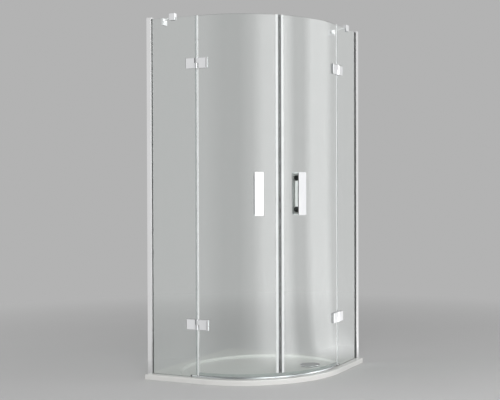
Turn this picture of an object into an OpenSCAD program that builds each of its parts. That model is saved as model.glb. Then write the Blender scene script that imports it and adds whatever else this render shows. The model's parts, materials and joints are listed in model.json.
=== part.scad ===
// Quadrant corner shower enclosure: a slim tray, two wall profiles, two fixed
// panes and two curved doors on outside pivot hinges. Millimetres, +Z up.
// The origin is the centre of the square footprint, on the floor.
// One wall plane is x = -footprint/2, the other is y = +footprint/2, and the
// right half mirrors the left half about the diagonal between the doors.

/* [Footprint and tray] */
// Length of each wall side of the tray
footprint = 900; // [880:5:960]
// Height of the tray's rim above the floor
tray_h = 28; // [24:1:40]
// Radius of the tray's rounded upper edge
tray_edge_r = 4; // [2:0.5:6]
// Depth of the dish below the rim
dish_depth = 11; // [8:1:14]
// Width of the rim between the curved front and the dish
rim_w = 48; // [44:1:70]
// Radius of the dish's back curve
dish_back_r = 455; // [440:1:470]
// Distance of the back curve's centre in front of the origin, along the diagonal
dish_back_shift = 92; // [80:1:110]
// Distance that the dish's two side corners are rounded back
dish_corner_trim = 4; // [2:0.5:8]
// Slope width of the dish's side
dish_slope = 14; // [6:1:20]
// Fall of the dish floor towards the waste
floor_fall = 2.5; // [1:0.5:3]
// Greatest radius of the falling part of the floor
fall_reach = 160; // [120:5:180]

/* [Waste] */
// Distance of the waste from the origin, parallel to the back wall
waste_x = 232; // [180:1:240]
// Distance of the waste from the origin, parallel to the side wall
waste_y = 180; // [120:1:190]
// Radius of the waste hole in the tray
waste_hole_r = 45; // [40:1:50]
// Radius of the waste flange's rim
flange_r = 55; // [52:1:60]
// Thickness of the flange's rim and of its wall
flange_t = 2.4; // [2:0.2:4]
// Radius of the lift-off waste cover
cover_r = 57; // [54:1:62]
// Thickness of the waste cover
cover_t = 4; // [3:0.5:6]

/* [Glass] */
// Height of the fixed panes and of the doors' top edge above the tray
glass_h = 1900; // [1700:10:2000]
// Thickness of every pane
glass_t = 6; // [5:0.5:8]
// Distance from the tray's edge to the outer face of the glass
glass_inset = 35; // [33:1:42]
// Radius of the outer face of the curved glass
glass_r = 515; // [500:1:530]
// Distance from the hinged joint to where the glass starts to bend
joint_to_bend = 42; // [30:1:60]
// Width of the gap between a fixed pane and its door
joint_gap = 10; // [9:0.5:12]
// Height of a door's lower glass edge above the tray
door_lift = 10; // [9:0.5:14]
// Thickness of the strip under each fixed pane
base_seal_t = 2; // [1:0.5:4]

/* [Wall profiles] */
// Width of a wall profile along the wall
profile_w = 22; // [20:0.5:28]
// Depth of a wall profile from the wall
profile_d = 26; // [22:1:34]
// Wall thickness of the wall profile
profile_t = 1.8; // [1.5:0.1:2.2]
// Wall thickness of the sliding inner profile
inner_t = 1.6; // [1.2:0.1:2]
// Distance that the inner profile stands out of the wall profile
inner_out = 3; // [2:0.5:8]
// Distance from the wall to the edge of the fixed glass
glass_edge_gap = 10; // [8:0.5:12]
// Height of the profiles above the top of the glass
profile_over = 5; // [3:0.5:10]
// Thickness of the profile's top cap
cap_t = 3; // [2:0.5:5]
// Radius of a fixing hole in the wall profile
wall_hole_r = 2.6; // [2:0.1:3.2]
// Distance between the outer fixing holes
wall_hole_long = 1600; // [1400:10:1640]
// Distance between the inner fixing holes
wall_hole_short = 600; // [400:10:800]
// Radius of an adjusting screw's head
adjust_head_r = 3.6; // [3:0.1:4.5]

/* [Hinges] */
// Height of a hinge
leaf_h = 55; // [45:1:64]
// Length of a hinge leaf on the fixed pane
fixed_leaf_w = 56; // [50:1:64]
// Length of a hinge leaf on the door
door_leaf_w = 60; // [54:1:66]
// Thickness of a hinge leaf
leaf_t = 12; // [11:0.5:15]
// Bevel round a leaf's front
leaf_bevel = 2.6; // [1:0.2:4]
// Thickness of the gasket between a leaf and the glass
hinge_gasket_t = 0.6; // [0.4:0.1:1]
// Distance of the pivot outside the glass
pivot_out = 6; // [5.5:0.25:7]
// Radius of a hinge knuckle
knuckle_r = 7; // [6.5:0.25:7.5]
// Radius of a hinge pin
pin_r = 3; // [2.5:0.25:3.5]
// Wall thickness of the bush round the pin
bush_t = 1; // [0.8:0.1:1.4]
// Radial running clearance of the pin in its bush
pin_clear = 0.05; // [0.03:0.01:0.09]
// Gap between the two knuckles
knuckle_gap = 1; // [0.8:0.1:2]
// Height of the upper hinge's middle below the top of the glass
upper_hinge_drop = 250; // [180:5:320]
// Height of the lower hinge's middle above the tray
lower_hinge_rise = 278; // [200:1:320]
// Distance of a leaf's screws from the pivot
leaf_screw_s = 36; // [30:1:40]
// Height between a leaf's two screws
leaf_screw_z = 30; // [20:1:36]

/* [Handles] */
// Width of a handle plate
handle_w = 46; // [36:1:54]
// Height of a handle plate
handle_h = 226; // [180:2:260]
// Thickness of a handle plate
handle_t = 7; // [5:0.5:9]
// Distance from the glass to the front of a handle plate
handle_out = 33; // [29:0.5:40]
// Distance along the glass from the meeting line to the handle
handle_inset = 113; // [80:1:140]
// Height of the handle's middle above the floor
handle_z = 993; // [900:1:1100]
// Height between the two handle bosses
boss_span = 168; // [140:1:172]
// Radius of a handle boss
boss_r = 14; // [12:0.5:15]
// Radius of a handle bolt
bolt_r = 4; // [3:0.25:4.5]

/* [Seals and threshold] */
// Width of the seal's grip on the door glass at the meeting line
meet_clip_w = 12; // [9:0.5:16]
// Distance from the meeting line to the door glass
meet_gap = 10; // [8:0.5:12]
// Height of the drip seal's upper edge above the tray
drip_top = 26; // [22:1:30]
// Length of the joint seal's grip on the fixed glass
joint_clip_w = 8; // [6:0.5:10]
// Height of the threshold strip
strip_h = 8; // [5:0.5:8.5]
// Width of the threshold strip
strip_w = 14; // [11:0.5:18]
// Distance that the threshold strip runs on behind a fixed pane
strip_past = 42; // [20:1:60]

/* [Stabilisers] */
// Distance from the wall to the middle of a stabiliser's glass clamp
clamp_x = 158; // [120:1:190]
// Width and height of a stabiliser's glass clamp
clamp_w = 36; // [30:1:42]
// Thickness of the clamp's cheeks
clamp_cheek = 8; // [6:0.5:10]
// Depth of the clamp below the top of the glass
clamp_down = 16; // [12:1:20]
// Radius of a stabiliser bar
bar_r = 5; // [4:0.5:6]
// Height of the stabiliser bar above the glass
bar_rise = 11; // [10:0.5:13]
// Side of a stabiliser's square wall block
wall_block_w = 38; // [32:1:44]
// Thickness of the wall block
wall_block_t = 12; // [9:1:16]
// Radius of the anchor hole in the back of the wall block
anchor_r = 4; // [3:0.25:5]

/* [Hidden] */

$fn = 48;
// Segments of the large curves, which are true arcs
arc_fn = 720;
// Gap left between pieces that nearly touch
fit_gap = 0.2;
// Gap between the two doors' seals, for each door
door_gap = 0.4;
// Room between a seal's clip and the glass it grips
clip_room = 0.15;
// Length that lies well outside the footprint
far = 3000;
// Overlap used where one solid is cut or joined
eps = 0.01;

half = footprint / 2;
glass_line = half - glass_inset;
glass_c = [glass_r - glass_line, glass_r - glass_line];
tray_front_r = glass_r + glass_inset;
glass_top = tray_h + glass_h;
joint_x = glass_line - glass_r - joint_to_bend;
fixed_w = half + joint_x;
joint_half = joint_gap / 2;
profile_top = glass_top + profile_over;
glass_mid = glass_t / 2;
upper_hinge_z = glass_top - upper_hinge_drop;
lower_hinge_z = tray_h + lower_hinge_rise;
hinge_levels = [lower_hinge_z, upper_hinge_z];
handle_turn = 45 - handle_inset / glass_r * 180 / PI;
dish_floor_z = tray_h - dish_depth;
waste_z = dish_floor_z - floor_fall;
bush_r = pin_r + bush_t;
leaf_front = hinge_gasket_t + leaf_t;
magnet_z0 = tray_h + drip_top + 2;
strip_start = glass_t + 1;

// The right half of the enclosure is the left half mirrored
module right_side() {
  mirror([1, 1, 0]) children();
}

// Both halves
module both_sides() {
  children();
  right_side() children();
}

// Local frame at the left hinged joint: x along the glass towards the door,
// y out of the enclosure from the outer glass face
module at_joint(z = 0) {
  translate([joint_x, -glass_line, z]) mirror([0, 1, 0]) children();
}

// The same frame at a turn round the curved glass
module on_curve(turn, z = 0) {
  translate([-glass_c[0], glass_c[1], 0]) rotate(turn)
    translate([0, -glass_r, z]) mirror([0, 1, 0]) children();
}

// The same frame with its x measured from the wall
module from_wall(x = 0, z = 0) {
  translate([x - half, -glass_line, z]) mirror([0, 1, 0]) children();
}

// Box between two x, two y and two z values
module block(x0, x1, y0, y1, z0, z1) {
  translate([x0, y0, z0]) cube([x1 - x0, y1 - y0, z1 - z0]);
}

// Rectangle with round corners, centred
module rounded_rect(w, h, r) {
  square([w - 2 * r, h], center = true);
  square([w, h - 2 * r], center = true);
  for (x = [-1, 1], y = [-1, 1])
    translate([x * (w / 2 - r), y * (h / 2 - r)]) circle(r);
}

// Quadrant with its square corner at the wall corner: its straight sides lie at
// a distance from the centre and its front is an arc about the point (cx, -cx)
module rounded_quadrant(side, r, cx) {
  translate([-half, -side]) square([cx + half, side + half]);
  translate([-half, -cx]) square([side + half, half + cx]);
  intersection() {
    translate([cx, -cx]) circle(r, $fn = arc_fn);
    translate([cx, -side - r]) square([side + r, side + r - cx]);
  }
}

// Area inside the glass line, moved inwards by a distance
module inside_line(inset) {
  rounded_quadrant(glass_line - inset, glass_r - inset, -glass_c[0]);
}

// Area on the left door's side of the meeting line, from a distance u
module left_of_meeting(u) {
  k = u * sqrt(2);
  polygon([[far, -far - k], [-far, far - k], [-far, -far - k]]);
}

// Band along the glass line between two insets, for the left door
module door_band(inset0, inset1, start, u) {
  intersection() {
    difference() {
      inside_line(inset0);
      inside_line(inset1);
    }
    translate([joint_x + start, -far]) square([far, far * 2]);
    left_of_meeting(u);
  }
}

// Tray

// Quadrant outline: square at the wall corner, round at the front
module tray_outline() {
  rounded_quadrant(half, tray_front_r, half - tray_front_r);
}

// Section that is cut off an upper edge to round it
module edge_cut_section() {
  difference() {
    translate([-tray_edge_r, -tray_edge_r]) square([tray_edge_r + 1, tray_edge_r + 1]);
    translate([-tray_edge_r, -tray_edge_r]) circle(tray_edge_r);
  }
}

// Cutter that rounds the straight and curved upper edges
module tray_edge_cut() {
  c = half - tray_front_r;
  both_sides()
    translate([-half - 1, -half, tray_h]) rotate([90, 0, 90])
      linear_extrude(half + c + 1) mirror([1, 0]) edge_cut_section();
  translate([c, -c, tray_h]) rotate(-90)
    rotate_extrude(angle = 90, $fn = arc_fn) translate([tray_front_r, 0]) edge_cut_section();
}

// The dish is where three circles meet, in a frame whose x runs along the
// diagonal between the wings: front, back, and one that rounds the side corners
front_q = (tray_front_r - half) * sqrt(2);
back_q = -dish_back_shift;
dish_front_r = tray_front_r - rim_w;
corner_q = (front_q + back_q) / 2
  - (dish_front_r * dish_front_r - dish_back_r * dish_back_r) / (2 * (front_q - back_q));
corner_p = sqrt(dish_back_r * dish_back_r - pow(corner_q - back_q, 2));
dish_side_r = corner_p - dish_corner_trim;

// The waste in the same frame, and the fall's radius, which ends on the flat floor
waste_pq = [(waste_x + waste_y) / sqrt(2), (waste_y - waste_x) / sqrt(2)];
floor_left = min(
  dish_front_r - norm(waste_pq - [0, front_q]),
  dish_back_r - norm(waste_pq - [0, back_q]),
  dish_side_r - norm(waste_pq - [0, corner_q])) - dish_slope;
floor_margin = 3;
fall_r = min(fall_reach, floor_left - floor_margin);

// Conical wall of the dish, wider at the rim than at the floor
module dish_cone(r, q) {
  translate([0, q, dish_floor_z])
    cylinder(h = dish_depth + 1, r1 = r - dish_slope, r2 = r + dish_slope / dish_depth, $fn = arc_fn);
}

module dish_cutter() {
  intersection() {
    dish_cone(dish_front_r, front_q);
    dish_cone(dish_back_r, back_q);
    dish_cone(dish_side_r, corner_q);
  }
}

module shower_tray() {
  color("whitesmoke")
    difference() {
      linear_extrude(tray_h) tray_outline();
      tray_edge_cut();
      rotate(45) dish_cutter();
      translate([waste_x, waste_y, waste_z])
        cylinder(h = floor_fall, r1 = flange_r + fit_gap, r2 = fall_r, $fn = 96);
      translate([waste_x, waste_y, waste_z - flange_t - gasket_t])
        cylinder(h = flange_t + gasket_t + eps, r = flange_r + fit_gap);
      translate([waste_x, waste_y, -1]) cylinder(h = tray_h, r = waste_hole_r);
    }
}

// Waste: flange in the hole, gasket under its rim, cover on three feet
gasket_t = 1.2;
cover_gap = 3;
foot_r = 3;
outlet_r = waste_hole_r - fit_gap - flange_t;

module waste_flange() {
  color("silver")
    translate([waste_x, waste_y, 0])
      difference() {
        union() {
          translate([0, 0, waste_z - flange_t]) cylinder(h = flange_t, r = flange_r);
          translate([0, 0, 1]) cylinder(h = waste_z - 1 - eps, r = waste_hole_r - fit_gap);
        }
        translate([0, 0, -1]) cylinder(h = tray_h, r = outlet_r);
      }
}

module waste_gasket() {
  color("dimgray")
    translate([waste_x, waste_y, waste_z - flange_t - gasket_t])
      difference() {
        cylinder(h = gasket_t, r = flange_r - 1);
        translate([0, 0, -1]) cylinder(h = gasket_t + 2, r = waste_hole_r);
      }
}

module waste_cover() {
  color("silver")
    translate([waste_x, waste_y, waste_z]) {
      translate([0, 0, cover_gap]) {
        cylinder(h = cover_t - 1.5, r = cover_r);
        translate([0, 0, cover_t - 1.5 - eps]) cylinder(h = 1.5, r1 = cover_r, r2 = cover_r - 1.5);
      }
      for (a = [0:120:240])
        rotate(a) translate([flange_r - 5, 0, 0.1]) cylinder(h = cover_gap, r = foot_r);
    }
}

// Wall profiles

// Section of the wall profile: an open channel with lips at its legs' ends
module wall_profile_section() {
  lip = 0.8;
  translate([0, -profile_w / 2]) {
    square([profile_t, profile_w]);
    square([profile_d, profile_t]);
    translate([0, profile_w - profile_t]) square([profile_d, profile_t]);
    for (y = [profile_t - eps, profile_w - profile_t - lip + eps])
      translate([profile_t + 2, y]) square([lip * 2, lip]);
  }
}

module wall_profile() {
  color("silver")
    from_wall(0, tray_h) translate([0, -glass_mid, 0])
      difference() {
        linear_extrude(profile_top - tray_h) wall_profile_section();
        for (span = [wall_hole_long, wall_hole_short], side = [-1, 1])
          translate([-1, 0, (profile_top - tray_h + side * span) / 2]) rotate([0, 90, 0])
            cylinder(h = profile_t + 2, r = wall_hole_r);
        for (z = adjust_levels)
          translate([adjust_x, -profile_w / 2 - 1, z]) rotate([-90, 0, 0])
            cylinder(h = profile_t + 2, r = adjust_shank_r + 0.1);
      }
}

// Sliding inner profile that grips the fixed glass
inner_half = profile_w / 2 - profile_t - fit_gap;
glass_pad = 3;
inner_x0 = glass_edge_gap - inner_t - glass_pad;
inner_x1 = profile_d + inner_out;
adjust_x = profile_d - 7;
adjust_end = 150;
adjust_levels = [adjust_end, glass_h / 2, glass_h - adjust_end];
adjust_shank_r = 1.8;

module glass_profile_section() {
  difference() {
    translate([inner_x0, -inner_half]) square([inner_x1 - inner_x0, inner_half * 2]);
    translate([inner_x0 + inner_t, -inner_half + inner_t])
      square([inner_x1, (inner_half - inner_t) * 2]);
  }
}

module glass_profile() {
  color("gainsboro")
    from_wall(0, tray_h) translate([0, -glass_mid, 0])
      difference() {
        linear_extrude(profile_top - tray_h) glass_profile_section();
        for (z = adjust_levels)
          translate([adjust_x, -inner_half - 1, z]) rotate([-90, 0, 0])
            cylinder(h = inner_t + 1, r = adjust_shank_r);
      }
}

module profile_cap() {
  skirt = 4;
  color("silver")
    from_wall(0, profile_top) translate([0, -glass_mid, 0]) {
      block(0, inner_x1, -profile_w / 2, profile_w / 2, 0, cap_t);
      block(inner_x0 + inner_t + fit_gap, inner_x1 - 4, -inner_half + inner_t + fit_gap,
        inner_half - inner_t - fit_gap, -skirt, eps);
    }
}

module profile_caps() {
  both_sides() profile_cap();
}

// U-shaped gasket between the inner profile and the glass
module glazing_gasket() {
  outer = inner_half - inner_t;
  color("gray")
    from_wall(0, tray_h) translate([0, -glass_mid, 0]) linear_extrude(glass_h)
      difference() {
        translate([inner_x0 + inner_t, -outer]) square([inner_x1 - 1 - inner_x0 - inner_t, outer * 2]);
        translate([glass_edge_gap, -glass_mid]) square([inner_x1, glass_t]);
        for (side = [-1, 1])
          translate([inner_x1 - 1, side * outer]) circle(1.4);
      }
}

// Screws that join the inner profile to the wall profile, from the inside
module adjusting_screws() {
  head_t = 1.8;
  color("silver")
    both_sides()
      from_wall(0, tray_h) translate([0, -glass_mid, 0])
        for (z = adjust_levels)
          translate([adjust_x, -profile_w / 2, z]) rotate([90, 0, 0]) {
            cylinder(h = head_t, r = adjust_head_r);
            translate([0, 0, -profile_t - fit_gap - inner_t])
              cylinder(h = profile_t + fit_gap + inner_t + eps, r = adjust_shank_r);
          }
}

// Fixed panes

hinge_hole_r = 5;

module fixed_glass() {
  color([0.7, 0.85, 0.85, 0.35])
    difference() {
      from_wall() block(glass_edge_gap, fixed_w - joint_half, -glass_t, 0, tray_h + base_seal_t, glass_top);
      for (z = hinge_levels, side = [-1, 1])
        at_joint(z + side * leaf_screw_z / 2) translate([-leaf_screw_s, 1, 0]) rotate([90, 0, 0])
          cylinder(h = glass_t + 2, r = hinge_hole_r);
    }
}

module base_seals() {
  color("lightgray")
    both_sides()
      from_wall() block(inner_x1 + fit_gap, fixed_w - joint_half, -glass_t, 0, tray_h, tray_h + base_seal_t);
}

// Vertical seal on the fixed pane's free edge, in three lengths between the hinges
module hinge_seal() {
  skin = 1.2;
  lip_end = joint_half - door_gap;
  stop = leaf_h / 2 + 1;
  levels = [
    [tray_h + strip_h + 2, lower_hinge_z - stop],
    [lower_hinge_z + stop, upper_hinge_z - stop],
    [upper_hinge_z + stop, glass_top]
  ];
  color("darkgray")
    for (span = levels)
      at_joint() translate([0, 0, span[0]]) linear_extrude(span[1] - span[0]) {
        translate([-joint_half - joint_clip_w, 0]) square([joint_clip_w + 1, skin]);
        translate([-joint_half - joint_clip_w, -glass_t - skin]) square([joint_clip_w + 1, skin]);
        translate([-joint_half, -glass_t - skin]) square([1.2, glass_t + skin * 2]);
        translate([-joint_half + 1, -glass_t + 1]) square([lip_end + joint_half - 1, skin]);
        translate([-joint_half + 1, -skin - 1]) square([lip_end + joint_half - 1, skin]);
      }
}

// Hinges

// Bevelled plate between two x values, lying on the gasket
module leaf_plate(x0, x1, z0, z1, bevel_x0 = true) {
  b = leaf_bevel;
  b0 = bevel_x0 ? b : 0;
  y0 = hinge_gasket_t;
  y1 = leaf_front;
  intersection() {
    translate([0, 0, z0]) linear_extrude(z1 - z0)
      polygon([[x0, y0], [x1, y0], [x1, y1 - b], [x1 - b, y1], [x0 + b0, y1], [x0, y1 - b0]]);
    translate([x0 - 1, 0, 0]) rotate([90, 0, 90]) linear_extrude(x1 - x0 + 2)
      polygon([[y0, -leaf_h / 2], [y0, leaf_h / 2], [y1 - b, leaf_h / 2], [y1, leaf_h / 2 - b],
        [y1, -leaf_h / 2 + b], [y1 - b, -leaf_h / 2]]);
  }
}

// Blind holes for a leaf's two screws, open towards the glass
module leaf_screw_holes(x) {
  for (side = [-1, 1])
    translate([x, leaf_screw_end, side * leaf_screw_z / 2]) rotate([90, 0, 0])
      cylinder(h = leaf_screw_end, r = leaf_screw_r);
}

leaf_screw_r = 3;
screw_cover = 4;
leaf_screw_end = leaf_front - screw_cover;
leaf_start = knuckle_r + 1;
leaf_notch = 5;
knuckle_half = knuckle_gap / 2;
knuckle_roof = 1.5;

// Fixed leaf: plate, lower knuckle, and a step clear of the door's knuckle
module fixed_leaf(z) {
  color("silver")
    at_joint(z)
      difference() {
        union() {
          leaf_plate(-leaf_start - fixed_leaf_w, -leaf_start, -leaf_h / 2, leaf_h / 2);
          translate([0, pivot_out, -leaf_h / 2]) cylinder(h = leaf_h / 2 - knuckle_half, r = knuckle_r);
          block(-leaf_start - leaf_bevel, 0, hinge_gasket_t, leaf_front - leaf_bevel,
            -leaf_h / 2, -knuckle_half);
        }
        translate([0, pivot_out, -leaf_h / 2 - 1]) cylinder(h = leaf_h, r = pin_r);
        leaf_screw_holes(-leaf_screw_s);
      }
}

// Door leaf: plate with a groove near its end, and the upper knuckle
module door_leaf(z) {
  groove_x = leaf_start + door_leaf_w - 10;
  color("silver")
    at_joint(z)
      difference() {
        union() {
          leaf_plate(leaf_start + leaf_notch, leaf_start + door_leaf_w, -leaf_h / 2, leaf_h / 2, false);
          translate([0, pivot_out, knuckle_half]) cylinder(h = leaf_h / 2 - knuckle_half, r = knuckle_r);
          block(0, leaf_start + leaf_notch + eps, hinge_gasket_t, leaf_front - eps,
            knuckle_half, leaf_h / 2 - leaf_bevel);
        }
        translate([0, pivot_out, 0]) cylinder(h = leaf_h / 2 - knuckle_roof, r = bush_r);
        block(groove_x, groove_x + 1, leaf_front - 0.8, leaf_front + 1, -leaf_h / 2 + 4, leaf_h / 2 - 4);
        leaf_screw_holes(leaf_screw_s);
      }
}

module hinge_pins() {
  color("lightgray")
    both_sides()
      for (z = hinge_levels)
        at_joint(z) translate([0, pivot_out, -leaf_h / 2])
          cylinder(h = leaf_h - knuckle_roof - 0.5, r = pin_r);
}

// Flanged bush in the door's knuckle, running on the pin
module hinge_bushes() {
  flange_h = knuckle_gap - 0.4;
  color("ivory")
    for (z = hinge_levels)
      at_joint(z) translate([0, pivot_out, -knuckle_half + 0.2])
        difference() {
          union() {
            cylinder(h = flange_h, r = knuckle_r - 0.5);
            cylinder(h = leaf_h / 2 - knuckle_roof - 0.5 + knuckle_half, r = bush_r);
          }
          translate([0, 0, -1]) cylinder(h = leaf_h, r = pin_r + pin_clear);
        }
}

// Distance of the outer glass face behind its straight part, in the joint's frame
function glass_dip(x) =
  let(bend = max(0, x + joint_x + glass_c[0]))
    sqrt(glass_r * glass_r - bend * bend) - glass_r;

// Gasket under a leaf, shaped to the glass, with sleeves through the glass
module leaf_gasket(x0, x1, screw_x) {
  steps = 8;
  clear = 0.02;
  back = [for (i = [0:steps]) let(x = x0 + (x1 - x0) * i / steps) [x, glass_dip(x) + clear]];
  difference() {
    union() {
      translate([0, 0, -leaf_h / 2]) linear_extrude(leaf_h)
        polygon(concat(back, [[x1, hinge_gasket_t], [x0, hinge_gasket_t]]));
      for (side = [-1, 1])
        translate([screw_x, hinge_gasket_t / 2, side * leaf_screw_z / 2]) rotate([90, 0, 0])
          cylinder(h = glass_t + hinge_gasket_t / 2, r = hinge_hole_r);
    }
    for (side = [-1, 1])
      translate([screw_x, 2, side * leaf_screw_z / 2]) rotate([90, 0, 0])
        cylinder(h = glass_t + 4, r = leaf_screw_r);
  }
}

module fixed_leaf_gaskets() {
  color("gray")
    both_sides()
      for (z = hinge_levels)
        at_joint(z) leaf_gasket(-leaf_start - fixed_leaf_w, -leaf_start, -leaf_screw_s);
}

module door_leaf_gaskets() {
  color("gray")
    for (z = hinge_levels)
      at_joint(z) leaf_gasket(leaf_start, leaf_start + door_leaf_w, leaf_screw_s);
}

// Flat-headed screw from the inside through the glass into a leaf
module leaf_screws(x) {
  head_r = 8.5;
  head_t = 1.8;
  for (side = [-1, 1])
    translate([x, -glass_t, side * leaf_screw_z / 2]) rotate([-90, 0, 0])
      difference() {
        union() {
          translate([0, 0, -head_t]) cylinder(h = head_t, r1 = head_r - 0.8, r2 = head_r);
          translate([0, 0, -eps]) cylinder(h = glass_t + leaf_screw_end - 0.5, r = leaf_screw_r);
        }
        translate([0, 0, -head_t - eps]) cylinder(h = 1.2, r = 2.3, $fn = 6);
      }
}

module fixed_leaf_screws() {
  color("silver")
    both_sides()
      for (z = hinge_levels)
        at_joint(z) leaf_screws(-leaf_screw_s);
}

module door_leaf_screws() {
  color("silver")
    for (z = hinge_levels)
      at_joint(z) leaf_screws(leaf_screw_s);
}

// Doors

bolt_hole_r = 6;

module door_glass() {
  color([0.7, 0.85, 0.85, 0.35])
    difference() {
      translate([0, 0, tray_h + door_lift]) linear_extrude(glass_h - door_lift)
        door_band(0, glass_t, joint_half, meet_gap);
      for (z = hinge_levels, side = [-1, 1])
        at_joint(z + side * leaf_screw_z / 2) translate([leaf_screw_s, 1, 0]) rotate([90, 0, 0])
          cylinder(h = glass_t + 2, r = hinge_hole_r);
      for (side = [-1, 1])
        on_curve(handle_turn, handle_z + side * boss_span / 2) translate([0, 2, 0]) rotate([90, 0, 0])
          cylinder(h = glass_t + 4, r = bolt_hole_r);
    }
}

// Clip on the door's free edge with a chamber for the magnet
seal_skin = 1.2;
chamber_u0 = door_gap + seal_skin;
chamber_u1 = meet_gap - fit_gap - seal_skin;

// Inside of the seal between two distances from the meeting line
module seal_inside(u0, u1) {
  difference() {
    door_band(-clip_room, glass_t + clip_room, joint_half, u0);
    left_of_meeting(u1);
  }
}

module magnet_seal() {
  grip = meet_gap + meet_clip_w;
  color("white")
    translate([0, 0, magnet_z0]) linear_extrude(glass_top - magnet_z0)
      difference() {
        door_band(-clip_room - seal_skin, glass_t + clip_room + seal_skin, joint_half, door_gap);
        left_of_meeting(grip);
        seal_inside(meet_gap - fit_gap, grip + 1);
        seal_inside(chamber_u0, chamber_u1);
      }
}

module magnet_strip() {
  color("dimgray")
    translate([0, 0, magnet_z0]) linear_extrude(glass_top - magnet_z0 - 1)
      seal_inside(chamber_u0, chamber_u1);
}

// Clip on the door's lower edge with a lip that hangs down
module drip_seal() {
  leg = 1;
  lip_z = 2.5;
  u = door_gap + 0.1;
  start = joint_half;
  color("gainsboro") {
    translate([0, 0, tray_h + door_lift]) linear_extrude(drip_top - door_lift) {
      door_band(-leg, 0, start, u);
      door_band(glass_t, glass_t + leg, start, u);
    }
    translate([0, 0, tray_h + door_lift - leg]) linear_extrude(leg)
      door_band(-leg, glass_t + leg, start, u);
    translate([0, 0, tray_h + lip_z]) linear_extrude(door_lift - leg - lip_z)
      door_band(glass_t - 2.4, glass_t - 0.8, start, u);
  }
}

// Handles

// Handle plate with two bosses, on the outer side of the glass
module handle() {
  edge = 2.5;
  corner = 4;
  pad_w = 24;
  pad_t = 2;
  base = handle_gasket_t;
  intersection() {
    translate([0, handle_out, 0]) rotate([90, 0, 0]) linear_extrude(handle_t)
      rounded_rect(handle_w, handle_h, corner);
    translate([0, handle_out - handle_t / 2, -handle_h / 2]) linear_extrude(handle_h)
      rounded_rect(handle_w, handle_t, edge);
  }
  translate([0, handle_out - handle_t + eps, 0]) rotate([90, 0, 0]) linear_extrude(pad_t)
    rounded_rect(pad_w, boss_span - 2 * boss_r - pad_t, pad_w / 3);
  for (side = [-1, 1])
    translate([0, base, side * boss_span / 2]) rotate([-90, 0, 0])
      difference() {
        cylinder(h = handle_out - handle_t - base + 1, r = boss_r);
        translate([0, 0, -1]) cylinder(h = bolt_depth + 1, r = bolt_r);
      }
}

handle_gasket_t = 0.8;
bolt_depth = 14;

module outer_handle() {
  color("silver") on_curve(handle_turn, handle_z) handle();
}

module inner_handle() {
  color("silver")
    on_curve(handle_turn, handle_z) translate([0, -glass_t, 0]) mirror([0, 1, 0]) handle();
}

// Washers on both faces of the glass, with the sleeve that joins them
module handle_gaskets() {
  color("dimgray")
    for (side = [-1, 1])
      on_curve(handle_turn, handle_z + side * boss_span / 2)
        difference() {
          union() {
            translate([0, handle_gasket_t, 0]) rotate([90, 0, 0])
              cylinder(h = handle_gasket_t, r = boss_r - 0.5);
            translate([0, -glass_t - clip_room, 0]) rotate([90, 0, 0])
              cylinder(h = handle_gasket_t - clip_room, r = boss_r - 0.5);
            translate([0, eps, 0]) rotate([90, 0, 0])
              cylinder(h = glass_t + clip_room + 2 * eps, r = bolt_hole_r - 0.1);
          }
          translate([0, 2, 0]) rotate([90, 0, 0]) cylinder(h = glass_t + 4, r = bolt_r);
        }
}

module handle_bolts() {
  reach = bolt_depth + handle_gasket_t - 1;
  color("silver")
    for (side = [-1, 1])
      on_curve(handle_turn, handle_z + side * boss_span / 2)
        translate([0, reach, 0]) rotate([90, 0, 0]) cylinder(h = glass_t + 2 * reach, r = bolt_r);
}

// Threshold strip on the tray's rim, just inside the doors

// Section with x outwards from the outer glass line
module strip_section() {
  a = -strip_start - strip_w;
  b = -strip_start;
  polygon([[a, 0], [b, 0], [b, 1.4], [b - 3, 2], [b - 3.6, strip_h - 1.6], [b - 5, strip_h],
    [b - 7, strip_h], [b - 8.6, strip_h - 1.6], [b - 9.4, 2], [a, 1]]);
}

module threshold_strip() {
  straight = joint_to_bend + strip_past;
  color("silver") {
    translate([-glass_c[0], glass_c[1], tray_h]) rotate(-90)
      rotate_extrude(angle = 90, $fn = arc_fn) translate([glass_r, 0]) strip_section();
    both_sides()
      translate([joint_x - strip_past, -glass_line, tray_h]) rotate([90, 0, 90])
        linear_extrude(straight + eps) mirror([1, 0]) strip_section();
  }
}

module threshold_end_caps() {
  cap = 8;
  color("darkslategray")
    both_sides()
      translate([joint_x - strip_past - cap, -glass_line + strip_start, tray_h]) {
        cube([cap - eps, strip_w, 3]);
        translate([0, 2.4, 0]) cube([cap - eps, 8, strip_h + 0.6]);
      }
}

// Stabilisers: clamp on the glass, 45 degree bar, block on the wall

bar_z = glass_top + bar_rise;
socket_r = bar_r + 4;
clamp_top = bar_z + socket_r + 1;
bar_insert = 10;
bar_run = clamp_x * sqrt(2);
clamp_socket = 30;
wall_socket = wall_block_t * sqrt(2) + 14;

// Frame on the bar's axis: z runs from the clamp to the wall at 45 degrees
module on_bar() {
  from_wall(clamp_x, bar_z) translate([0, -glass_mid, 0]) rotate(-45) rotate([90, 0, 0]) children();
}

module stabiliser_clamp() {
  pad = 0.1;
  color("silver")
    difference() {
      union() {
        from_wall(clamp_x) block(-clamp_w / 2, clamp_w / 2, -glass_t - clamp_cheek, clamp_cheek,
          glass_top - clamp_down, clamp_top);
        on_bar() cylinder(h = clamp_socket, r = socket_r);
      }
      from_wall(clamp_x) block(-clamp_w, clamp_w, -glass_t - pad, pad, 0, glass_top + pad);
      on_bar() translate([0, 0, clamp_socket - bar_insert]) cylinder(h = bar_insert + 1, r = bar_r);
      for (side = [-1, 1])
        from_wall(clamp_x + side * clamp_w / 4, glass_top - clamp_down / 2) translate([0, -glass_t + 1, 0])
          rotate([90, 0, 0]) cylinder(h = clamp_cheek + 2, r = grub_r);
      on_bar() translate([0, 0, clamp_socket - bar_insert / 2]) rotate([-90, 0, 0])
        cylinder(h = socket_r + 1, r = grub_r);
    }
}

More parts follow.
